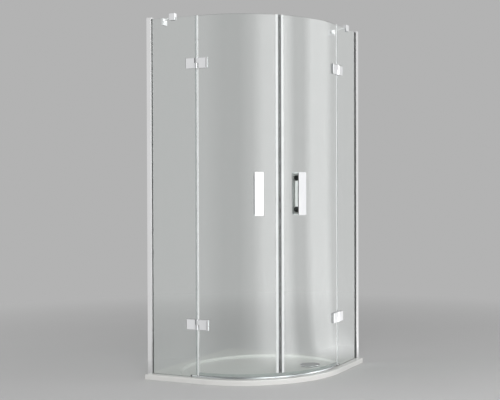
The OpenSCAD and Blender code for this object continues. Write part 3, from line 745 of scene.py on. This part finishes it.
def make_meeting_seals():
    """Seal on a door's free edge: a milky clip on the glass, and a clear soft chamber round the magnet."""
    clip = [(8.7, 1.35), (8.7, SEAL_GAP), (8.7, FAR), (8.7, -7.35), (15, -7.6), (21.2, -7.4), (22, -6.8),
            (22, FAR), (15.5, FAR), (9.8, FAR), (9.8, SEAL_GAP), (15.5, SEAL_GAP), (22, SEAL_GAP),
            (22, 0.8), (21.2, 1.4), (15, 1.6)]
    chamber = [(8.7, 1.2), (2.0, 1.2), (0.8, 0.8), (0.4, 0.0), (0.4, -2.95), (1.6, -2.95), (1.6, SEAL_GAP),
               (8.4, SEAL_GAP), (8.4, FAR), (1.6, FAR), (1.6, -3.05), (0.4, -3.05), (0.4, -6.0),
               (0.8, -6.8), (2.0, -7.2), (8.7, -7.2)]
    for name, outline, finish in (("clip", clip, "milky_seal"), ("chamber", chamber, "clear_seal")):
        seal = upright([at_meeting(along, out) for along, out in outline], TRAY_H + 28, GLASS_TOP)
        hand_over_pair(seal, f"meeting_{name}_side", DOORS, ["side_magnet_seal"], 40.0, finish)


def make_joint_seals():
    """Clear strip clipped on the fixed pane's free edge, with two milky lips towards the door, in three
    lengths between the hinges."""
    clip = [(-13, SEAL_GAP), (-13, 0.7), (-12.2, 1.2), (-8.5, 1.4), (-4.7, 1.2), (-4.1, 0.6), (-4.1, -6.6),
            (-4.7, -7.2), (-8.5, -7.4), (-12.2, -7.2), (-13, -6.7), (-13, FAR), (-4.85, FAR),
            (-4.85, SEAL_GAP)]
    lips = [(-4.1, 0.4), (-3.8, 0.2), (-3.8, -1.0), (3.8, -1.0), (4.6, -1.6), (3.8, -2.2), (-3.8, -2.2),
            (-3.8, -3.8), (3.8, -3.8), (4.6, -4.4), (3.8, -5.0), (-3.8, -5.0), (-3.8, -6.2), (-4.1, -6.4)]
    stop = LEAF_H / 2 + 1
    lower, upper = HINGE_LEVELS["lower"], HINGE_LEVELS["upper"]
    spans = ((DOOR_BOTTOM, lower - stop), (lower + stop, upper - stop), (upper + stop, GLASS_TOP))
    for name, outline, finish in (("clip", clip, "clear_seal"), ("lips", lips, "milky_seal")):
        plan = [(JOINT_X + along, -GLASS_LINE - out) for along, out in outline]
        seal = joined(*[upright(plan, z0, z1) for z0, z1 in spans])
        hand_over_pair(seal, f"joint_{name}_side", FIXED, ["side_hinge_seal"], 40.0, finish)


def make_drip_seals():
    """Clear clip on a door's lower edge with a lip that sweeps the rim."""
    seat = DOOR_BOTTOM - 0.2
    section = [(SEAL_GAP, seat), (SEAL_GAP, 54), (0.6, 54), (1, 53.2), (1, 37.4), (0.6, 37), (-3.6, 37),
               (-3.6, 31), (-4.4, 30.5), (-5.2, 31), (-5.2, 37), (-6.6, 37), (-7, 37.4), (-7, 53.2),
               (-6.6, 54), (FAR, 54), (FAR, seat)]
    seal = along_front(section, JOINT_X + JOINT_HALF, DIAGONAL - math.degrees(0.5 / GLASS_R))
    hand_over_pair(seal, "drip_seal_side", DOORS, ["side_drip_seal"], 40.0)


def make_threshold():
    """Extruded strip on the tray's rim with a raised rounded bead."""
    edge, top = -7.0, 8.0
    section = [(edge - 14, 0), (edge, 0), (edge, 0.7), (edge - 0.4, 1.0), (edge - 2.4, 1.2),
               (edge - 2.8, 1.6), (edge - 4.0, top - 1.4), (edge - 4.4, top - 0.4), (edge - 5.2, top),
               (edge - 6.6, top), (edge - 7.9, top - 0.6), (edge - 8.7, top - 2.4), (edge - 9.4, 2),
               (edge - 13.6, 1.2), (edge - 14, 0.8)]
    strip = along_front([(out, TRAY_H + up) for out, up in section], JOINT_X - 42, 90.0, 84.0, 128)
    hand_over(strip, "threshold_rail", "root", ["threshold_strip"], 40.0)


# Wall profiles

GLASS_MIDDLE = -GLASS_LINE + GLASS_T / 2
PROFILE_TOP = GLASS_TOP + 5
PROFILE_HALF = 11.0
PROFILE_RUN = 29.0


def make_wall_profiles():
    """Channel screwed to the wall, the inner profile that slides in it, and their top cap."""
    half, run, top = PROFILE_HALF, PROFILE_RUN, PROFILE_TOP
    channel = [(0, -half), (26, -half), (26, -9.2), (5.4, -9.2), (5.4, -8.4), (3.8, -8.4), (3.8, -9.2),
               (1.8, -9.2), (1.8, 9.2), (3.8, 9.2), (3.8, 8.4), (5.4, 8.4), (5.4, 9.2), (26, 9.2),
               (26, half), (0, half)]
    slider = [(5.4, -9), (run, -9), (run, -7.4), (7, -7.4), (7, 7.4), (run, 7.4), (run, 9), (5.4, 9)]
    for name, outline, node_name, width in (("wall_channel_side", channel, "side_wall_profile", 0.45),
                                            ("inner_channel_side", slider, "side_glass_profile", 0.4)):
        profile = upright([(-HALF + x, GLASS_MIDDLE + y) for x, y in outline], TRAY_H, top)
        if outline is channel:
            holes = [(top + TRAY_H) / 2 + span for span in (-800, -300, 300, 800)]
            cut(profile, *[start_rod(2.6, (-HALF - 1, GLASS_MIDDLE, z), (-HALF + 2.5, GLASS_MIDDLE, z), 24)
                           for z in holes])
        hand_over_pair(ease(profile, width), name, FIXED, [node_name])
    cap = start_box((-HALF, GLASS_MIDDLE - half, top), (-HALF + run, GLASS_MIDDLE + half, top + 3))
    with editing(cap, "EDGE", lambda a, b: a.z > top + 2 and b.z > top + 2):
        round_off(0.8, 3)
    skirt = start_box((-HALF + 7.2, GLASS_MIDDLE - 7.2, top - 4),
                      (-HALF + 25, GLASS_MIDDLE + 7.2, top + 0.2))
    hand_over_pair(joined(cap, ease(skirt, 0.4)), "profile_cap_side", FIXED, ["profile_caps"])


# Stabilisers

BAR_Z = GLASS_TOP + 11
BAR_R = 5.0
COLLAR_R = 9.0
REACH = 158.0
RUN = REACH * math.sqrt(2)
FOOT = Vector((-HALF + REACH, GLASS_MIDDLE, BAR_Z))
ALONG = Vector((-1, 1, 0)).normalized()
CLAMP_SOCKET = 20.0
BLOCK_SOCKET = 12 * math.sqrt(2) + 14


def on_bar(radius, start, end):
    """Rod on the bar's axis, between two distances from the glass."""
    return start_rod(radius, FOOT + ALONG * start, FOOT + ALONG * end)


def distance_on_bar(place):
    return (place - FOOT).dot(ALONG)


def make_glass_clamp():
    """Clamp on the pane's upper edge with two grub screw holes and the bar's collar."""
    clamp = start_box((FOOT.x - 18, -GLASS_LINE - 8, GLASS_TOP - 16),
                      (FOOT.x + 18, -GLASS_LINE + 14, BAR_Z + 10))
    with editing(clamp, "EDGE", everything):
        round_off(1.3, 3)
    slot_box = start_box((FOOT.x - 20, -GLASS_LINE - 0.1, GLASS_TOP - 18),
                         (FOOT.x + 20, -GLASS_LINE + GLASS_T + 0.1, GLASS_TOP + 0.1))
    grub_z = GLASS_TOP - 8
    grubs = [start_rod(2.5, (x, -GLASS_LINE + 5, grub_z), (x, -GLASS_LINE + 16, grub_z), 32)
             for x in (FOOT.x - 9, FOOT.x + 9)]
    cut(clamp, slot_box, *grubs)
    collar = on_bar(COLLAR_R, 0, 30)
    with editing(collar, "EDGE", lambda a, b: min(distance_on_bar(a), distance_on_bar(b)) > 29.9):
        round_off(1.0, 3)
    cut(collar, on_bar(BAR_R, CLAMP_SOCKET, 31))
    return joined(clamp, collar)


def make_wall_block():
    """Square block on the wall with an anchor hole in its back and the bar's other collar."""
    y, start = GLASS_MIDDLE + REACH, RUN - BLOCK_SOCKET
    block = start_box((-HALF, y - 19, BAR_Z - 21), (-HALF + 12, y + 19, BAR_Z + 17))
    with editing(block, "EDGE", lambda a, b: max(a.x, b.x) > -HALF + 11):
        round_off(1.3, 3)
    cut(block, start_rod(4.0, (-HALF - 1, y, BAR_Z - 12), (-HALF + 9, y, BAR_Z - 12)))
    collar = on_bar(COLLAR_R, start, RUN - 9.5)
    with editing(collar, "EDGE", lambda a, b: max(distance_on_bar(a), distance_on_bar(b)) < start + 0.1):
        round_off(1.0, 3)
    cut(collar, on_bar(BAR_R, start - 1, start + 10))
    return joined(block, collar)


def make_stabilisers():
    """Glass clamp, bar at 45 degrees, and square block on the wall."""
    hand_over_pair(make_glass_clamp(), "glass_clamp_side", FIXED, ["side_stabiliser_clamp"], 40.0)
    bar = ease(on_bar(BAR_R, CLAMP_SOCKET, RUN - BLOCK_SOCKET + 10), 0.4)
    hand_over_pair(bar, "brace_bar_side", FIXED, ["side_stabiliser_bar"], 40.0)
    hand_over_pair(make_wall_block(), "wall_block_side", FIXED, ["side_stabiliser_wall_block"], 40.0)


# Tray and waste

WASTE = (232.0, 180.0)
WASTE_HOLE_R = 45.0
RECESS_R = 55.2
RECESS_FLOOR = 10.9
COVER_R = 57.0
COVER_SEAT = 14.6
DISH_FLOOR = 17.0
DISH_SLOPE = 14.0
DISH_STEPS = 192
FALL_R = 141.5
# Radius of each disc, and how far its centre stands from the middle towards the corner of the walls
DISH_DISCS = ((502.0, 141.42), (455.0, -92.0), (450.54, -71.64))


def arc(centre, radius, start, end, steps):
    """Points on an arc between two angles in degrees."""
    for step in range(steps + 1):
        turn = math.radians(start + (end - start) * step / steps)
        yield centre[0] + radius * math.cos(turn), centre[1] + radius * math.sin(turn)


def dish_part(radius, back):
    """One of the three discs whose common part is the dish: fillet, slope, and a soft lip into the rim."""
    x, y = -back / math.sqrt(2), back / math.sqrt(2)
    slope = math.degrees(math.atan2(TRAY_H - DISH_FLOOR, DISH_SLOPE))
    foot_r, lip_r = 18.0, 14.0
    foot, lip = (r * math.tan(math.radians(slope / 2)) for r in (foot_r, lip_r))
    profile = [*arc((radius - DISH_SLOPE - foot, DISH_FLOOR + foot_r), foot_r, -90, slope - 90, 5),
               *arc((radius + lip, TRAY_H - lip_r), lip_r, 90 + slope, 90, 5), (radius + lip, TRAY_H + 1)]
    disc = start_section([(x + along, y, up) for along, up in profile])
    with editing(disc, "FACE", everything):
        bpy.ops.mesh.delete(type="ONLY_FACE")
    with editing(disc, "EDGE", lambda a, b: abs(a.z - b.z) > TRAY_H - DISH_FLOOR):
        bpy.ops.mesh.delete(type="EDGE")
    with editing(disc, "EDGE", everything):
        bpy.ops.mesh.spin(steps=DISH_STEPS, angle=math.tau, center=Vector((x, y, 0)) * MM,
                          axis=(0, 0, 1))
        bpy.ops.mesh.select_all(action="SELECT")
        bpy.ops.mesh.remove_doubles(threshold=WELD)
        bpy.ops.mesh.fill_holes(sides=0)
    face_outwards(disc)
    return disc


def make_tray():
    """Slim cast tray: rounded upper edge, a soft lip round the dish, and a fall to the waste."""
    outline = [(-HALF, HALF), (-HALF, -HALF), *arc(CURVE_CENTRE, TRAY_FRONT_R, -90, 0, 96), (HALF, HALF)]
    tray = upright(outline, 0, TRAY_H)
    with editing(tray, "EDGE", lambda a, b: min(a.z, b.z) > TRAY_H - 1):
        round_off(4.0, 5)
    with editing(tray, "EDGE", lambda a, b: max(a.z, b.z) < 1):
        round_off(1.0, 2)
    basin, *others = [dish_part(radius, back) for radius, back in DISH_DISCS]
    cut(basin, *others, operation="INTERSECT")
    fall = start_cone(RECESS_R, FALL_R, WASTE, COVER_SEAT - 0.1, DISH_FLOOR + 0.5, 128)
    recess = start_cone(RECESS_R, RECESS_R, WASTE, RECESS_FLOOR, COVER_SEAT)
    hole = start_cone(WASTE_HOLE_R, WASTE_HOLE_R, WASTE, -1.0, 20.0)
    cut(tray, basin, fall, recess, hole)
    hand_over(tray, "cast_tray", "root", ["shower_tray"], 25.0)


def make_waste_cover():
    """Lift-off cover: a shallow dome with a rolled edge on three feet."""
    low = DISH_FLOOR + 0.5
    cover = start_cone(COVER_R, COVER_R, WASTE, low, low + 4.0)
    with editing(cover, "FACE", lambda normal, centre: normal.z > 0.9):
        bpy.ops.mesh.region_to_loop()
        round_off(1.5, 4)
    rings = ((2.0, 0), (1.0, -0.5), (2.0, 0), (14.0, 0.35), (16.0, 0.1))
    with editing(cover, "FACE", lambda normal, centre: normal.z > 0.99):
        for width, rise in rings:
            bpy.ops.mesh.inset(thickness=width * MM, depth=rise * MM)
    feet = []
    for turn in (0, 120, 240):
        place = Vector((50.0, 0, 0))
        place.rotate(Euler((0, 0, math.radians(turn))))
        x, y = WASTE[0] + place.x, WASTE[1] + place.y
        foot = start_rod(3.0, (x, y, COVER_SEAT), (x, y, low + 0.2), 32)
        with editing(foot, "FACE", lambda normal, centre: normal.z < -0.9):
            bpy.ops.mesh.region_to_loop()
            round_off(0.6, 2)
        feet.append(foot)
    hand_over(joined(cover, *feet), "lift_off_cover", "waste_cover", ["waste_cover"])


# Small parts

# Each node's bevel
SMALL_PARTS = {"waste_flange": 0.7, "waste_gasket": 0.2, "threshold_end_caps": 0.8, "base_seals": 0.4,
               "adjusting_screws": 0.25, "stabiliser_screws": 0.25, "fixed_leaf_gaskets": 0.25,
               "fixed_leaf_screws": 0.25, "hinge_pins": 0.4}
SIDE_PARTS = {"glazing_gasket": 0.3, "magnet_strip": 0.4, "hinge_bushes": 0.25, "door_leaf_gaskets": 0.25,
              "door_leaf_screws": 0.25, "handle_gaskets": 0.25, "handle_bolts": 0.4}


def make_small_parts():
    """Screws, gaskets and plugs keep their shape and get fine bevels on every edge."""
    side_parts = {f"{side}_{name}": width
                  for side in ("left", "right") for name, width in SIDE_PARTS.items()}
    for node_name, width in {**SMALL_PARTS, **side_parts}.items():
        body = frame["nodes"][node_name].parent.name.partition(":")[2]
        hand_over(ease(merged_copy(node_name), width), f"{node_name}_eased", body, [node_name], 40.0)


make_fixed_pane()
make_door_pane()
make_handles()
make_hinges()
make_meeting_seals()
make_joint_seals()
make_drip_seals()
make_wall_profiles()
make_stabilisers()
make_threshold()
make_tray()
make_waste_cover()
make_small_parts()

# Camera, floor and light


def add_camera():
    data = bpy.data.cameras.new("camera")
    camera = bpy.data.objects.new("camera", data)
    bpy.context.scene.collection.objects.link(camera)
    data.sensor_width = 36.0
    data.lens = CAMERA_LENS
    data.shift_x, data.shift_y = CAMERA_SHIFT
    data.clip_end = 200.0
    camera.location = CAMERA_PLACE
    turn = Euler((math.radians(90.0 + CAMERA_PITCH), 0.0, math.radians(CAMERA_YAW)), "XYZ")
    roll = Euler((0.0, 0.0, math.radians(CAMERA_ROLL)), "XYZ")
    camera.rotation_euler = (turn.to_matrix() @ roll.to_matrix()).to_euler("XYZ")
    bpy.context.scene.camera = camera


def light_path(g, *names):
    """What kind of ray sees the surface, one socket for each name."""
    return [g.node("ShaderNodeLightPath", output=name) for name in names]


def across(g, vector):
    """The x and y of a vector socket."""
    return [g.node("ShaderNodeSeparateXYZ", sockets={"Vector": vector}, output=name) for name in ("X", "Y")]


def fade(distance, start, width):
    """From 0 to 1 as a distance grows past a start."""
    return (distance - start) * (1 / width)


def mirrored_level(g, x, y):
    """What metal and glass mirror in the direction (x, y): a share of the highest level, and that level."""
    top = max(level for _, level in MIRRORED)
    stops = [((azimuth + 180) / 360, (level / top,) * 3) for azimuth, level in MIRRORED]
    share = x.math("ARCTAN2", y * -1.0) * (0.5 / math.pi) + 0.5
    return g.node("ShaderNodeValToRGB", {"stops": stops}, {"Fac": share}), top


def was_reflected(g):
    """1 for a ray that metal or glass has mirrored, 0 for one that comes straight or through glass."""
    return light_path(g, "Glossy Depth")[0].math("MINIMUM", 1.0)


def add_floor():
    """Pale floor that turns into the backdrop's tone further out, where nothing casts a shadow."""
    take_only()
    bpy.ops.mesh.primitive_plane_add(size=FLOOR_SIZE, location=(0.0, 0.0, -0.0005))
    floor = bpy.context.active_object
    floor.name = "floor"
    material, g = finish_named("pale_floor")
    camera, transmitted = light_path(g, "Is Camera Ray", "Is Transmission Ray")
    x, y = across(g, g.node("ShaderNodeTexCoord", output="Object"))
    away = (x * x + y * y).math("SQRT")
    cloud = g.noise(0.6, 2.0)
    color = g.ramp(cloud, 0.3, 0.7, (FLOOR_TONE,) * 3, (FLOOR_TONE * 1.03,) * 3)
    near = g.shade(Base_Color=color, Roughness=0.6)
    glow, top = mirrored_level(g, x, y)
    reflected = was_reflected(g)
    pale = g.node("ShaderNodeEmission", sockets={"Color": WHITE, "Strength": PALE})
    mirror = g.node("ShaderNodeEmission", sockets={"Color": glow, "Strength": top})
    seen_fade = fade(away, 1.2, 2.6).math("SMOOTH_MIN", 1.0, 0.1).math("MAXIMUM", 0.0)
    mirrored_fade = fade(away, 0.68, 0.5).math("MINIMUM", 1.0).math("MAXIMUM", 0.0)
    by_eye = camera.math("MAXIMUM", transmitted)
    seen = g.node("ShaderNodeMixShader", sockets={0: by_eye * seen_fade, 1: near, 2: pale})
    g.finish(g.node("ShaderNodeMixShader", sockets={0: reflected * mirrored_fade, 1: seen, 2: mirror}))
    dress(floor, material)


def add_lamp(name, azimuth, height, distance, size, power):
    """Soft box that faces the middle of the enclosure. Azimuth 0 is in front, 90 on the right."""
    turn = math.radians(azimuth)
    data = bpy.data.lights.new(name, "AREA")
    data.shape = "RECTANGLE"
    data.size, data.size_y = size
    data.energy = power
    lamp = bpy.data.objects.new(name, data)
    bpy.context.scene.collection.objects.link(lamp)
    lamp.location = (distance * math.sin(turn), -distance * math.cos(turn), height)
    towards = Vector((0.0, 0.0, 1.0)) - lamp.location
    lamp.rotation_euler = towards.to_track_quat("-Z", "Y").to_euler()
    lamp.visible_camera = False
    lamp.visible_transmission = False
    lamp.visible_glossy = False


def add_world():
    """Soft light all round, a pale backdrop, and soft boxes and cloths that only metal and glass mirror."""
    world = bpy.data.worlds.new("studio")
    bpy.context.scene.world = world
    g = Graph(world)
    camera, glossy, transmitted = light_path(g, "Is Camera Ray", "Is Glossy Ray", "Is Transmission Ray")
    seen = camera.math("MAXIMUM", glossy).math("MAXIMUM", transmitted)
    reflected = was_reflected(g)
    x, y = across(g, g.node("ShaderNodeTexCoord", output="Generated"))
    glow, top = mirrored_level(g, x, y)
    soft = g.node("ShaderNodeBackground", sockets={"Color": WHITE, "Strength": SOFT_LEVEL})
    pale = g.node("ShaderNodeBackground", sockets={"Color": WHITE, "Strength": PALE})
    mirror = g.node("ShaderNodeBackground", sockets={"Color": glow, "Strength": top})
    backdrop = g.node("ShaderNodeMixShader", sockets={0: reflected, 1: pale, 2: mirror})
    lit = g.node("ShaderNodeMixShader", sockets={0: seen, 1: soft, 2: backdrop})
    g.finish(lit, "ShaderNodeOutputWorld")


add_camera()
add_floor()
add_world()
add_lamp("front_soft_box", 30.0, 1.7, 4.2, (1.4, 2.0), 75.0)
add_lamp("side_soft_box", 95.0, 1.8, 3.6, (1.6, 2.2), 45.0)
add_lamp("top_soft_box", -50.0, 4.0, 2.4, (1.8, 1.8), 45.0)

bpy.context.scene.view_settings.view_transform = "Standard"
